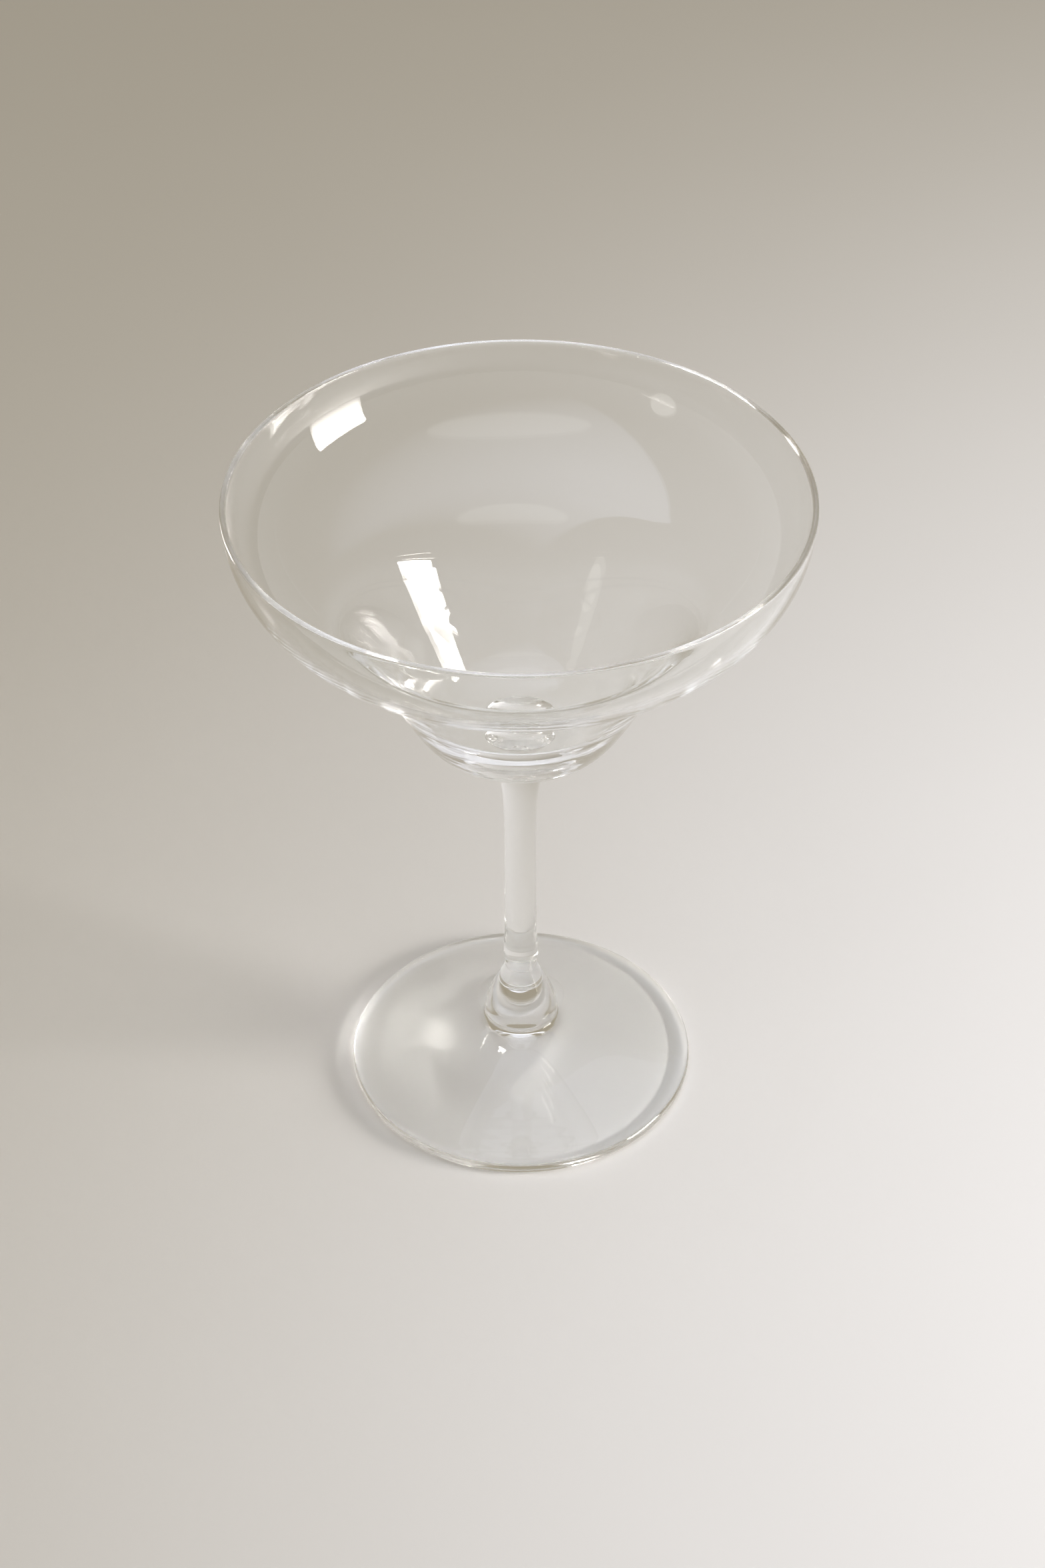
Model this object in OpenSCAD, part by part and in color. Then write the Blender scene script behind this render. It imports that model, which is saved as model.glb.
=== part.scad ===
// Clear stemmed cocktail glass: a wide saucer that turns down into a
// cone-shaped well with a rounded bottom, on a solid stem and a domed foot.
// Three pieces of glass, fused hot at two flat joints: the bowl sits on the
// stem, and the stem sits on the neck of the foot.
// Origin: centre of the resting plane. +Z is up. Millimetres.

/* [Overall] */
// Height from the table to the top of the lip
height = 151; // [146:1:170]
// Outside diameter of the lip
rim_d = 116; // [112:1:124]
// Outside diameter of the foot
foot_d = 75.5; // [70:0.5:84]

/* [Bowl outside] */
// Drop from the lip to the turn where the saucer goes over into the well
turn_drop = 25.8; // [23:0.1:29]
// Radius of the wall at the turn
turn_r = 39.8; // [37:0.1:42]
// Slope of the wall at the turn, degrees above level
turn_slope = 24; // [18:1:30]
// Drop from the lip to the lower end of the well's cone
cone_drop = 43.8; // [42:0.1:46]
// Radius at the lower end of the well's cone
cone_r = 27.2; // [25:0.1:29]
// Slope of the cone, degrees above level
cone_slope = 61; // [57:1:64]
// Drop from the lip to the underside of the well
well_drop = 61.1; // [59:0.1:64]

/* [Glass thickness] */
// Thickness of the lip
lip_t = 1.2; // [0.9:0.05:1.6]
// Thickness at the turn
turn_t = 1.5; // [1.2:0.05:2]
// Thickness at the lower end of the well's cone
cone_t = 2; // [1.7:0.05:2.4]
// Thickness of the well's floor
floor_t = 4.2; // [3.6:0.1:5]
// Slope of the inside wall low in the well, degrees above level
inner_slope = 57; // [55:1:60]

/* [Stem] */
// Diameter of the straight stem
stem_d = 7; // [6:0.1:8]
// Diameter of the fused joint under the bowl
bowl_joint_d = 15; // [12:0.1:18]
// Height over which the stem spreads to the bowl
flare_h = 21; // [16:0.5:26]
// Diameter of the slight swelling just above the lower joint
bead_d = 7.5; // [7:0.1:8.6]
// Height of the swelling above the lower joint
bead_rise = 3.6; // [3:0.1:5]
// Diameter of the fused joint over the foot
foot_joint_d = 6.8; // [6:0.1:7.6]

/* [Foot] */
// Height of the joint between stem and foot above the table
foot_joint_z = 27.6; // [26:0.1:32]
// Radius of the bell at its lower end
bell_r = 8.1; // [7.2:0.1:9]
// Height of the bell's lower end above the table
bell_z = 14; // [12.6:0.1:15.4]
// Thickness of the disc at its rounded edge
edge_t = 2.9; // [2.4:0.1:3.4]
// Height of the hollow under the middle of the foot
hollow_h = 6; // [4:0.1:6.6]
// Width of the flat ring that the foot rests on
land_w = 2.1; // [1.4:0.1:3.4]

/* [Hidden] */
$fn = 144;
GLASS = [0.86, 0.89, 0.88, 0.45];

// How many straight steps stand for each curved stretch
SAUCER_STEPS = 22;
WELL_STEPS = 14;
BOTTOM_STEPS = 16;
FLOOR_STEPS = 12;
LIP_STEPS = 8;
FLARE_STEPS = 14;
BEAD_STEPS = 10;
DISC_STEPS = 18;
FILLET_STEPS = 5;
BELL_STEPS = 14;
EDGE_STEPS = 10;
HOLLOW_STEPS = 14;
CUT_STEPS = 30;

// How far each curve runs along its end directions before it bends away
SAUCER_UPRIGHT = 12;
SAUCER_EASE = 12.2;
TURN_EASE = 6.5;
CONE_EASE = 4;
BOTTOM_EASE = 15.5;
BOTTOM_FLAT_R = 20;
INNER_CONE = 11;
FLOOR_EASE = 4;
FLOOR_FLAT_R = 9;

rim_r = rim_d / 2;
foot_r = foot_d / 2;
stem_r = stem_d / 2;
bowl_joint_r = bowl_joint_d / 2;
foot_joint_r = foot_joint_d / 2;
bead_r = bead_d / 2;
lip_r = lip_t / 2;
under_z = height - well_drop;
floor_z = under_z + floor_t;
turn = [turn_r, height - turn_drop];
cone = [cone_r, height - cone_drop];

// Direction of a slope, pointing outward and up
function uphill(slope) = [cos(slope), sin(slope)];

// A point, and the direction of travel, on a cubic curve with four controls
function curve_at(c, t) =
    pow(1 - t, 3) * c[0] + 3 * pow(1 - t, 2) * t * c[1]
    + 3 * (1 - t) * pow(t, 2) * c[2] + pow(t, 3) * c[3];
function curve_way(c, t) =
    pow(1 - t, 2) * (c[1] - c[0]) + 2 * (1 - t) * t * (c[2] - c[1])
    + pow(t, 2) * (c[3] - c[2]);

// Points along a curve, and points a changing wall thickness inside it.
// Both skip the point at t = 0, so that one stretch can follow another.
function along(c, steps, stop = 1) =
    [for (i = [1:steps]) curve_at(c, stop * i / steps)];
function inside_at(c, t, wall) =
    let (way = curve_way(c, t))
    curve_at(c, t) + wall * [way[1], -way[0]] / norm(way);
function inside(c, steps, wall_start, wall_end) = [
    for (i = [1:steps])
        inside_at(c, i / steps, wall_start + (wall_end - wall_start) * i / steps)
];
function backwards(list) = [for (i = [len(list) - 1:-1:0]) list[i]];
function arc(centre, r, from, to, steps) = [
    for (i = [0:steps])
        let (a = from + (to - from) * i / steps)
        centre + r * [cos(a), sin(a)]
];

// Where an inward curve passes radius r, by halving the stretch that holds it
function cut_at(c, r, low = 0, high = 1, left = CUT_STEPS) =
    let (middle = (low + high) / 2)
    left == 0 ? middle
    : curve_at(c, middle)[0] > r ? cut_at(c, r, middle, high, left - 1)
    : cut_at(c, r, low, middle, left - 1);

// Outside of the bowl, from just under the lip down to its middle
saucer_curve = [
    [rim_r, height - lip_r],
    [rim_r, height - SAUCER_UPRIGHT],
    turn + SAUCER_EASE * uphill(turn_slope),
    turn
];
well_curve = [
    turn,
    turn - TURN_EASE * uphill(turn_slope),
    cone + CONE_EASE * uphill(cone_slope),
    cone
];
bottom_curve = [
    cone,
    cone - BOTTOM_EASE * uphill(cone_slope),
    [BOTTOM_FLAT_R, under_z],
    [0, under_z]
];

// Height of the flat joint between the bowl and the stem
bottom_cut = cut_at(bottom_curve, bowl_joint_r);
bowl_joint_z = curve_at(bottom_curve, bottom_cut)[1];

module bowl() {
    lip = arc([rim_r - lip_r, height - lip_r], lip_r, 180, 0, LIP_STEPS);
    cone_inside = inside_at(well_curve, 1, cone_t);
    floor_edge = cone_inside - INNER_CONE * uphill(inner_slope);
    floor_curve = [
        floor_edge,
        floor_edge - FLOOR_EASE * uphill(inner_slope),
        [FLOOR_FLAT_R, floor_z],
        [0, floor_z]
    ];
    outline = concat(
        lip,
        along(saucer_curve, SAUCER_STEPS),
        along(well_curve, WELL_STEPS),
        along(bottom_curve, BOTTOM_STEPS, bottom_cut),
        [[0, bowl_joint_z]],
        backwards(along(floor_curve, FLOOR_STEPS)),
        [floor_edge],
        backwards(inside(well_curve, WELL_STEPS, turn_t, cone_t)),
        backwards(inside(saucer_curve, SAUCER_STEPS, lip_t, turn_t))
    );
    color(GLASS)
        rotate_extrude() polygon(outline);
}

module stem() {
    // Shares of the height and of the spread that shape the flare and the bead
    flare_straight = 0.4;
    flare_bend = 0.25;
    flare_spread = 0.28;
    neck_straight = 0.4;
    bead_z = foot_joint_z + bead_rise;
    straight_z = bead_z + 2 * bead_rise;
    flare_z = bowl_joint_z - flare_h;
    flare = [
        [stem_r, flare_z],
        [stem_r, flare_z + flare_h * flare_straight],
        [
            stem_r + (bowl_joint_r - stem_r) * flare_spread,
            bowl_joint_z - flare_h * flare_bend
        ],
        [bowl_joint_r, bowl_joint_z]
    ];
    neck_to_bead = [
        [foot_joint_r, foot_joint_z],
        [foot_joint_r, foot_joint_z + bead_rise * neck_straight],
        [bead_r, bead_z - bead_rise * neck_straight],
        [bead_r, bead_z]
    ];
    bead_to_stem = [
        [bead_r, bead_z],
        [bead_r, bead_z + bead_rise],
        [stem_r, straight_z - bead_rise],
        [stem_r, straight_z]
    ];
    outline = concat(
        [[0, foot_joint_z], [foot_joint_r, foot_joint_z]],
        along(neck_to_bead, BEAD_STEPS),
        along(bead_to_stem, BEAD_STEPS),
        [[stem_r, flare_z]],
        along(flare, FLARE_STEPS),
        [[0, bowl_joint_z]]
    );
    color(GLASS)
        rotate_extrude() polygon(outline);
}

module foot() {
    edge_r = edge_t / 2;
    edge_lean = 80;
    edge_centre = [foot_r - edge_r, edge_r];
    edge = arc(edge_centre, edge_r, -90, edge_lean, EDGE_STEPS);
    edge_top = edge[EDGE_STEPS];

    // The disc rises slowly from its edge and ends in a small hollow fillet
    fillet = 0.5;
    outer_share = 0.69;
    outer_rise = 1.7;
    inner_reach = 4.1;
    inner_fall = 4.1;
    fillet_start = [bell_r + fillet, bell_z - 1.2 * fillet];
    disc = [
        edge_top,
        [foot_r * outer_share, edge_t + outer_rise],
        [bell_r + inner_reach, bell_z - inner_fall],
        fillet_start
    ];
    fillet_curve = [
        fillet_start,
        [bell_r + 0.3 * fillet, bell_z - 0.6 * fillet],
        [bell_r, bell_z - 0.2 * fillet],
        [bell_r, bell_z]
    ];

    // Upright at its lower end, and leaning outward from the joint above
    bell_upright = 4.4;
    lean_out = 2;
    lean_down = 4.7;
    bell = [
        [bell_r, bell_z],
        [bell_r, bell_z + bell_upright],
        [foot_joint_r + lean_out, foot_joint_z - lean_down],
        [foot_joint_r, foot_joint_z]
    ];

    // Level in the middle, then down to the resting ring
    hollow_level_r = 9;
    hollow_share = 0.53;
    hollow_drop = 0.37;
    land_r = foot_r - edge_r - land_w;
    hollow = [
        [0, hollow_h],
        [hollow_level_r, hollow_h],
        [foot_r * hollow_share, hollow_h * hollow_drop],
        [land_r, 0]
    ];
    outline = concat(
        [[0, hollow_h]],
        along(hollow, HOLLOW_STEPS),
        edge,
        along(disc, DISC_STEPS),
        along(fillet_curve, FILLET_STEPS),
        along(bell, BELL_STEPS),
        [[0, foot_joint_z]]
    );
    color(GLASS)
        rotate_extrude() polygon(outline);
}

bowl();
stem();
foot();
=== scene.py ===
import math

import bmesh
import bpy
from mathutils import Matrix, Vector


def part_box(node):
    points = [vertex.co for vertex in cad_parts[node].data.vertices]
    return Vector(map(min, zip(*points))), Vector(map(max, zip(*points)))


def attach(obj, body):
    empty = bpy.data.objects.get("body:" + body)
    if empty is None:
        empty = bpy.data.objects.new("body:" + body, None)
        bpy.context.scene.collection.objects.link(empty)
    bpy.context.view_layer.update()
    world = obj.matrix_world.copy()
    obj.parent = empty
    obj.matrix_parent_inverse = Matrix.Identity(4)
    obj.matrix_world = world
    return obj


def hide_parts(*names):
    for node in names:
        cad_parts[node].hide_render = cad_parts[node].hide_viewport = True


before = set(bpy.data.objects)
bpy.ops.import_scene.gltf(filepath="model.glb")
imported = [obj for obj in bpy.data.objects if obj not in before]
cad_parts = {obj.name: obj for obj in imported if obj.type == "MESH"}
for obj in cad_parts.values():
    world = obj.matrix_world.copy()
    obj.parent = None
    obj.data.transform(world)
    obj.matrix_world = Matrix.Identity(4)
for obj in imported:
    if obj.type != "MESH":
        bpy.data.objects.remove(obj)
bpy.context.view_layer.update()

scene = bpy.context.scene

# ---- Settings, metres ------------------------------------------------------

SEGMENTS = 256              # steps round each turned piece
FINER = 3                   # steps between two points of a CAD outline
CORNER = math.radians(35)   # an outline bending more than this stays sharp
WELD_GAP = 1e-5             # clearance at each fused joint, so that no faces coincide
TINY = 1e-7                 # two places closer than this are the same
DIGITS = 7                  # and this many decimals tell two places apart
FLAT = 0.999                # a face whose normal is steeper than this lies level

TABLE_DROP = 2e-4           # the table lies this far below the resting ring
TABLE_HALF = 3.0            # half the table's width

GLASS_COLOUR = (0.985, 0.99, 0.985, 1)
GLASS_IOR = 1.51
HAZE_SCALE = 60             # noise scales are cells to the metre
HAZE_DETAIL = 4
HAZE_SHARE = (0.45, 0.8)    # noise values where haze begins and where it is full
HAZE_ROUGHNESS = 0.02
WAVE_SCALE = 45
WAVE_DETAIL = 1
WAVE_STRENGTH = 0.18
WAVE_HEIGHT = 2e-4

PAPER_DARK = (0.79, 0.789, 0.787, 1)
PAPER_PALE = (0.81, 0.811, 0.813, 1)
PAPER_SCALE = 9
PAPER_DETAIL = 5
PAPER_SHARE = (0.3, 0.7)
PAPER_ROUGHNESS = (0.7, 0.8)
PAPER_SPECULAR = 0.15

CAMERA_FRAME = 36           # mm, the height of the frame
CAMERA_LENS = 68.7          # mm
CAMERA_SHIFT = 0.001
CAMERA_NEAR = 0.01
CAMERA_DOWN = math.radians(39.44)
CAMERA_ROLL = math.radians(-0.2)
CAMERA_AT = Vector((0.00016, -0.4831, 0.4757))

WINDOW_TURN = math.radians(-13)
WINDOW_AWAY = 0.79
WINDOW_Z = 0.18
WINDOW_SKY = (0.15, 1.85)   # brightness at the two ends of its height
WALL_SPREAD = math.radians(130)
ROOM_LOW = (0.56, 0.53, 0.48, 1)        # the room, level with the table and below
ROOM_HIGH = (0.345, 0.303, 0.228, 1)    # the room overhead
ROOM_BLEND = 0.42           # sine of the angle above level where the blend is done
LIGHT_TURNS = 128           # times that light may turn in the glass
LIGHT_PASSES = 16           # times that it may pass a fused joint

# ---- Outlines from the CAD nodes -------------------------------------------


def cad_outline(node):
    """(radius, height) points of a turned CAD node, from its lower end on the
    axis round to its upper one, read from the vertices at azimuth zero."""
    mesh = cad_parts[node].data
    flat = {v.index: (v.co.x, v.co.z) for v in mesh.vertices
            if abs(v.co.y) < TINY and v.co.x > -TINY}
    place = {i: (round(r, DIGITS), round(z, DIGITS)) for i, (r, z) in flat.items()}
    links = {}
    for e in mesh.edges:
        a, b = e.vertices
        if a in place and b in place and place[a] != place[b]:
            links.setdefault(place[a], set()).add(place[b])
            links.setdefault(place[b], set()).add(place[a])
    ends = sorted((p for p in links if len(links[p]) == 1), key=lambda p: p[1])
    chain = [ends[0]]
    while True:
        onward = [p for p in links[chain[-1]] if p not in chain[-2:]]
        if not onward:
            break
        chain.append(onward[0])
    points = [Vector((max(r, 0.0), z)) for r, z in chain]
    if points[0].x > TINY:
        points.insert(0, Vector((0, points[0].y)))
    if points[-1].x > TINY:
        points.append(Vector((0, points[-1].y)))
    return points


def bend(a, b, c):
    """Angle by which the outline turns at b."""
    return abs((b - a).angle(c - b, 0.0))


def slope(a, b, c):
    """Direction of the smooth curve at b, from the circle through a, b, c."""
    ab, bc = b - a, c - b
    la, lc = ab.length, bc.length
    way = ab / la * (lc / (la + lc)) + bc / lc * (la / (la + lc))
    return way.normalized()


def refined(points):
    """The outline with FINER steps between points, on a smooth curve through
    them. Corners stay sharp."""
    last = len(points) - 1
    sharp = [i in (0, last) or bend(*points[i - 1:i + 2]) > CORNER
             for i in range(last + 1)]
    made = [points[0]]
    for i in range(last):
        p, q = points[i], points[i + 1]
        span = (q - p).length
        before, after = (q - p) / span, (q - p) / span
        if not sharp[i]:
            before = slope(points[i - 1], p, q)
        if not sharp[i + 1]:
            after = slope(p, q, points[i + 2])
        for k in range(1, FINER + 1):
            t = k / FINER
            made.append((2 * t**3 - 3 * t**2 + 1) * p + (3 * t**2 - 2 * t**3) * q
                        + span * ((t**3 - 2 * t**2 + t) * before
                                  + (t**3 - t**2) * after))
    return made


# ---- Meshes ----------------------------------------------------------------


def linked(name, data):
    made = bpy.data.objects.new(name, data)
    scene.collection.objects.link(made)
    return made


def mesh_from(name, bm):
    mesh = bpy.data.meshes.new(name)
    bm.to_mesh(mesh)
    bm.free()
    return mesh


def turned(name, points, low, high):
    """A piece made by turning an outline about Z, kept inside the box low to high."""
    bm = bmesh.new()
    rings = []
    for r, z in points:
        r, z = min(r, high.x), min(max(z, low.z), high.z)
        if r < TINY:
            rings.append([bm.verts.new((0, 0, z))])
        else:
            rings.append([bm.verts.new((r * math.cos(a), r * math.sin(a), z))
                          for a in (2 * math.pi * i / SEGMENTS for i in range(SEGMENTS))])
    for a_ring, b_ring in zip(rings[:-1], rings[1:]):
        for i in range(SEGMENTS):
            j = (i + 1) % SEGMENTS
            if len(a_ring) == 1:
                bm.faces.new((a_ring[0], b_ring[j], b_ring[i]))
            elif len(b_ring) == 1:
                bm.faces.new((a_ring[i], a_ring[j], b_ring[0]))
            else:
                bm.faces.new((a_ring[i], a_ring[j], b_ring[j], b_ring[i]))
    bmesh.ops.recalc_face_normals(bm, faces=bm.faces)
    mesh = mesh_from(name, bm)
    mesh.shade_smooth()
    return linked(name, mesh)


# ---- Nodes and materials ---------------------------------------------------


def tree_of(owner):
    """The nodes and links of a material, lamp or world."""
    owner.use_nodes = True
    return owner.node_tree.nodes, owner.node_tree.links


def noise(nodes, links, where, scale, detail):
    n = nodes.new("ShaderNodeTexNoise")
    n.inputs["Scale"].default_value = scale
    n.inputs["Detail"].default_value = detail
    links.new(where, n.inputs["Vector"])
    return n.outputs["Fac"]


def ramp(nodes, links, value, low, high, to_low, to_high):
    """A value that runs from to_low to to_high while the input runs from low to high."""
    m = nodes.new("ShaderNodeMapRange")
    m.inputs["From Min"].default_value = low
    m.inputs["From Max"].default_value = high
    m.inputs["To Min"].default_value = to_low
    m.inputs["To Max"].default_value = to_high
    links.new(value, m.inputs["Value"])
    return m.outputs["Result"]


def blend(nodes, links, share, first, second):
    """A colour that goes from first to second as the share goes from 0 to 1."""
    mix = nodes.new("ShaderNodeMix")
    mix.data_type = "RGBA"
    mix.inputs["A"].default_value = first
    mix.inputs["B"].default_value = second
    links.new(share, mix.inputs["Factor"])
    return mix.outputs["Result"]


def component(nodes, links, vector, axis):
    split = nodes.new("ShaderNodeSeparateXYZ")
    links.new(vector, split.inputs["Vector"])
    return split.outputs[axis]


def clear_glass():
    """Colourless glass with faint waves, and a trace of haze in places."""
    material = bpy.data.materials.new("clear_glass")
    nodes, links = tree_of(material)
    shader = nodes["Principled BSDF"]
    shader.inputs["Base Color"].default_value = GLASS_COLOUR
    shader.inputs["IOR"].default_value = GLASS_IOR
    shader.inputs["Transmission Weight"].default_value = 1.0
    where = nodes.new("ShaderNodeTexCoord").outputs["Object"]
    haze = noise(nodes, links, where, HAZE_SCALE, HAZE_DETAIL)
    links.new(ramp(nodes, links, haze, *HAZE_SHARE, 0.0, HAZE_ROUGHNESS),
              shader.inputs["Roughness"])
    waves = noise(nodes, links, where, WAVE_SCALE, WAVE_DETAIL)
    bump = nodes.new("ShaderNodeBump")
    bump.inputs["Strength"].default_value = WAVE_STRENGTH
    bump.inputs["Distance"].default_value = WAVE_HEIGHT
    links.new(waves, bump.inputs["Height"])
    links.new(bump.outputs["Normal"], shader.inputs["Normal"])
    return material


def fused():
    """Where two pieces are fused there is no surface, so nothing is seen."""
    material = bpy.data.materials.new("fused_joint")
    nodes, links = tree_of(material)
    nodes.remove(nodes["Principled BSDF"])
    through = nodes.new("ShaderNodeBsdfTransparent")
    links.new(through.outputs["BSDF"], nodes["Material Output"].inputs["Surface"])
    return material


def table_top():
    """A matt, nearly white sheet, faintly mottled."""
    material = bpy.data.materials.new("table_top")
    nodes, links = tree_of(material)
    shader = nodes["Principled BSDF"]
    shader.inputs["Specular IOR Level"].default_value = PAPER_SPECULAR
    where = nodes.new("ShaderNodeTexCoord").outputs["Object"]
    mottle = noise(nodes, links, where, PAPER_SCALE, PAPER_DETAIL)
    paper = blend(nodes, links, mottle, PAPER_DARK, PAPER_PALE)
    links.new(paper, shader.inputs["Base Color"])
    links.new(ramp(nodes, links, mottle, *PAPER_SHARE, *PAPER_ROUGHNESS),
              shader.inputs["Roughness"])
    return material


def area_light(name, where, towards, width, height, watts, shape="RECTANGLE"):
    """A flat lamp. Watts are given for red, green and blue."""
    data = bpy.data.lights.new(name, "AREA")
    data.shape = shape
    data.size = width
    data.size_y = height
    data.energy = max(watts)
    data.color = [w / data.energy for w in watts]
    lamp = linked(name, data)
    lamp.location = where
    lamp.rotation_euler = (towards - where).to_track_quat("-Z", "Y").to_euler()
    return lamp


# ---- Build -----------------------------------------------------------------

glass, joint = clear_glass(), fused()
outlines = {n: cad_outline(n) for n in ("bowl", "stem", "foot")}
upper_joint_z = outlines["bowl"][0].y
lower_joint_z = outlines["stem"][0].y
for node, points in outlines.items():
    piece = turned(node + "_glass", refined(points), *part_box(node))
    piece.data.materials.append(glass)
    piece.data.materials.append(joint)
    for face in piece.data.polygons:
        from_joint = min(abs(face.center.z - z) for z in (upper_joint_z, lower_joint_z))
        if abs(face.normal.z) > FLAT and from_joint < TINY:
            face.material_index = 1
            face.use_smooth = False
    if node == "stem":
        for v in piece.data.vertices:
            if abs(v.co.z - upper_joint_z) < TINY:
                v.co.z -= WELD_GAP
            elif abs(v.co.z - lower_joint_z) < TINY:
                v.co.z += WELD_GAP
    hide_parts(node)
    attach(piece, "root")

# ---- Table -----------------------------------------------------------------

corners = ((-1, -1), (1, -1), (1, 1), (-1, 1))
bm = bmesh.new()
bm.faces.new([bm.verts.new((x * TABLE_HALF, y * TABLE_HALF, -TABLE_DROP))
              for x, y in corners])
table_mesh = mesh_from("table", bm)
table_mesh.materials.append(table_top())
linked("table", table_mesh)

# ---- Camera ----------------------------------------------------------------

camera_data = bpy.data.cameras.new("camera")
camera_data.sensor_fit = "VERTICAL"
camera_data.sensor_height = CAMERA_FRAME
camera_data.lens = CAMERA_LENS
camera_data.shift_x = CAMERA_SHIFT
camera_data.clip_start = CAMERA_NEAR
camera = linked("camera", camera_data)
scene.camera = camera
forward = Vector((0, math.cos(CAMERA_DOWN), -math.sin(CAMERA_DOWN)))
up = Vector((0, math.sin(CAMERA_DOWN), math.cos(CAMERA_DOWN)))
across = Vector((1, 0, 0))
right = math.cos(CAMERA_ROLL) * across + math.sin(CAMERA_ROLL) * up
top = -math.sin(CAMERA_ROLL) * across + math.cos(CAMERA_ROLL) * up
pose = Matrix((right, top, -forward)).transposed().to_4x4()
pose.translation = CAMERA_AT
camera.matrix_world = pose

# ---- Light -----------------------------------------------------------------

# A bright window to the right, a broad lamp over the right of the table that
# stands for a pale wall, a ceiling, and a faint upright patch to the left
window_at = Vector((WINDOW_AWAY * math.cos(WINDOW_TURN),
                    WINDOW_AWAY * math.sin(WINDOW_TURN), WINDOW_Z))
window = area_light("window", window_at, towards=Vector((0, 0, WINDOW_Z)),
                    width=0.34, height=0.36, watts=(7.0, 6.67, 6.33))
wall = area_light("wall", Vector((0.384, -0.125, 0.402)),
                  towards=Vector((0.517, -0.130, 0)),
                  width=1.0, height=1.0, watts=(1.06, 1.14, 1.38), shape="ELLIPSE")
area_light("ceiling", Vector((0.05, -0.54, 0.84)), towards=Vector((0, 0, 0)),
           width=0.95, height=0.35, watts=(0.42, 0.43, 0.42), shape="ELLIPSE")
area_light("upright", Vector((-0.52, -0.30, 0.20)), towards=Vector((0, 0, 0.12)),
           width=0.12, height=0.24, watts=(0.09, 0.09, 0.087), shape="ELLIPSE")
wall.data.spread = WALL_SPREAD

# The window is brighter at one end of its height, as a view of open sky is
nodes, links = tree_of(window.data)
pane = nodes.new("ShaderNodeNewGeometry").outputs["Parametric"]
along_height = component(nodes, links, pane, "Y")
links.new(ramp(nodes, links, along_height, 0.0, 1.0, *WINDOW_SKY),
          nodes["Emission"].inputs["Strength"])

world = bpy.data.worlds.new("room")
scene.world = world
nodes, links = tree_of(world)
direction = nodes.new("ShaderNodeTexCoord").outputs["Generated"]
above = component(nodes, links, direction, "Z")
share = ramp(nodes, links, above, 0.0, ROOM_BLEND, 0.0, 1.0)
links.new(blend(nodes, links, share, ROOM_LOW, ROOM_HIGH),
          nodes["Background"].inputs["Color"])

# ---- Rendering -------------------------------------------------------------

# Light stays in the thin wall for many turns before it leaves at the lip
scene.view_settings.view_transform = "Standard"
scene.cycles.use_denoising = True
scene.cycles.max_bounces = LIGHT_TURNS
scene.cycles.transmission_bounces = LIGHT_TURNS
scene.cycles.glossy_bounces = LIGHT_TURNS
scene.cycles.transparent_max_bounces = LIGHT_PASSES
scene.cycles.sample_clamp_indirect = 0
scene.cycles.blur_glossy = 0
